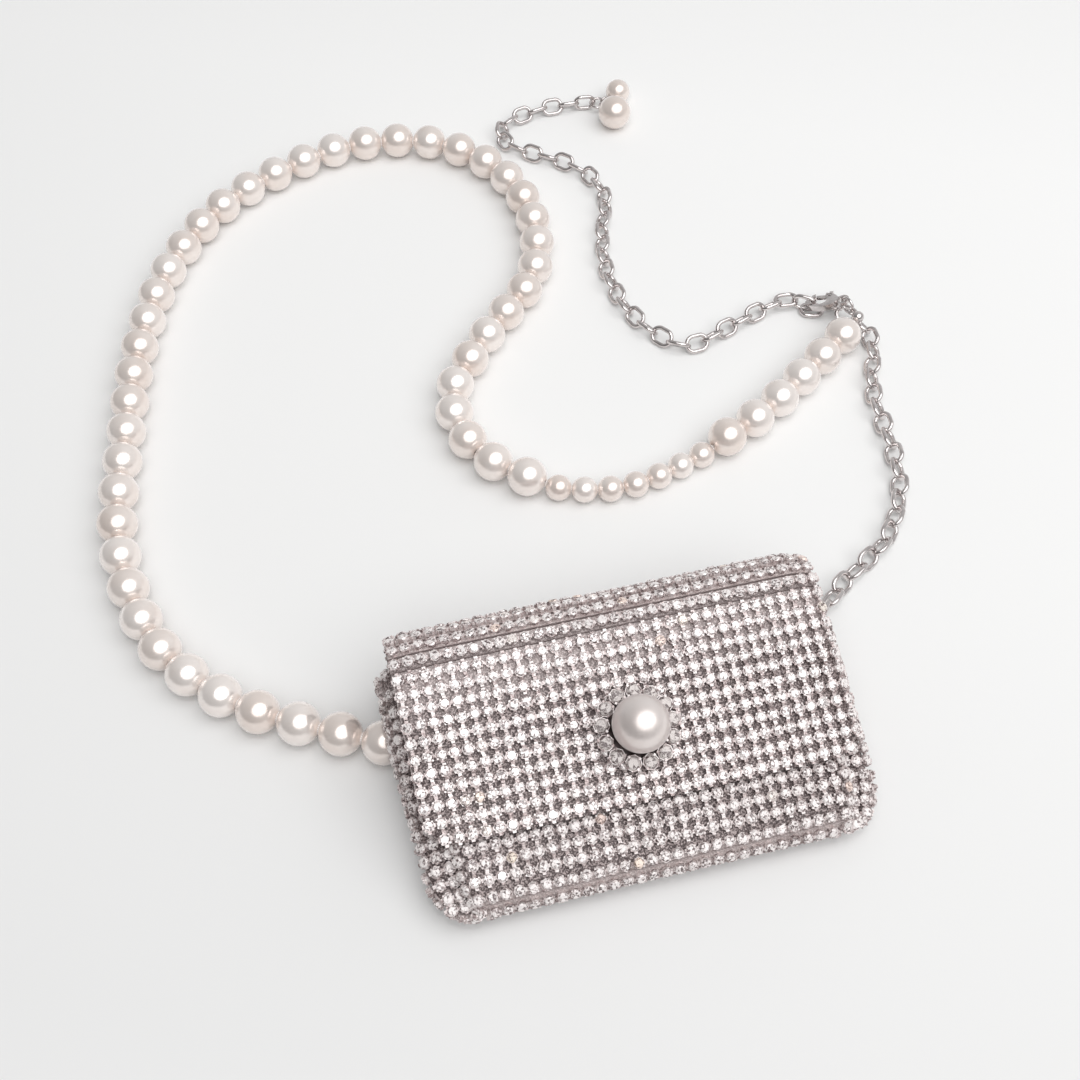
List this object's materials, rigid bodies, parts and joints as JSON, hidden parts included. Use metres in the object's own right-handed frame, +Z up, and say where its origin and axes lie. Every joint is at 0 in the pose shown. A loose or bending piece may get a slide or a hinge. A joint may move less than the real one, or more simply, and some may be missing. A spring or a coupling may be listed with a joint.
{
  "type": "mini bag",
  "caption": "Small wedge-shaped flap bag in crystal-set satin, lying on its back, with a pearl button, a pearl strap, a lobster clasp and an extender chain.",
  "frame": {"origin": "middle of the back panel's outer face, on the surface that the bag lies on", "axes": "+X across the bag, +Y from its bottom edge to the fold of its flap, +Z up out of the surface"},
  "size_m": [0.2531, 0.3099, 0.0409],
  "materials": {
    "crystal_mesh": "mauve-grey satin set all over with rows of small clear stones in silver cups",
    "pearl": "cream pearl lustre with a pinkish tint",
    "plated_metal": "bright silver plating"
  },
  "bodies": {
    "bag": {"bag_body": "crystal_mesh", "bag_flap": "crystal_mesh", "button_setting": "plated_metal", "button_pearl": "pearl", "string_anchor": "plated_metal", "chain_loop": "plated_metal", "pearl_string": "pearl", "string_tip": "plated_metal", "jump_ring": "plated_metal", "clasp_body": "plated_metal", "clasp_rivet": "plated_metal", "chain_strap": "plated_metal", "chain_tail": "plated_metal", "tail_ring": "plated_metal", "tail_pin_small": "plated_metal", "tail_pearl_small": "pearl", "tail_pin_large": "plated_metal", "tail_pearl_large": "pearl"},
    "lever": {"clasp_lever": "plated_metal"}
  },
  "joints": [
    {"name": "clasp_lever_hinge", "type": "hinge", "parent": "bag", "child": "lever", "pos_m": [0.11148, 0.14439, 0.00671], "axis": [-0.3438, 0.2319, 0.91], "range_deg": [0, 25], "stiffness_Nm_per_rad": 0.003, "springref_deg": -17.19}
  ]
}
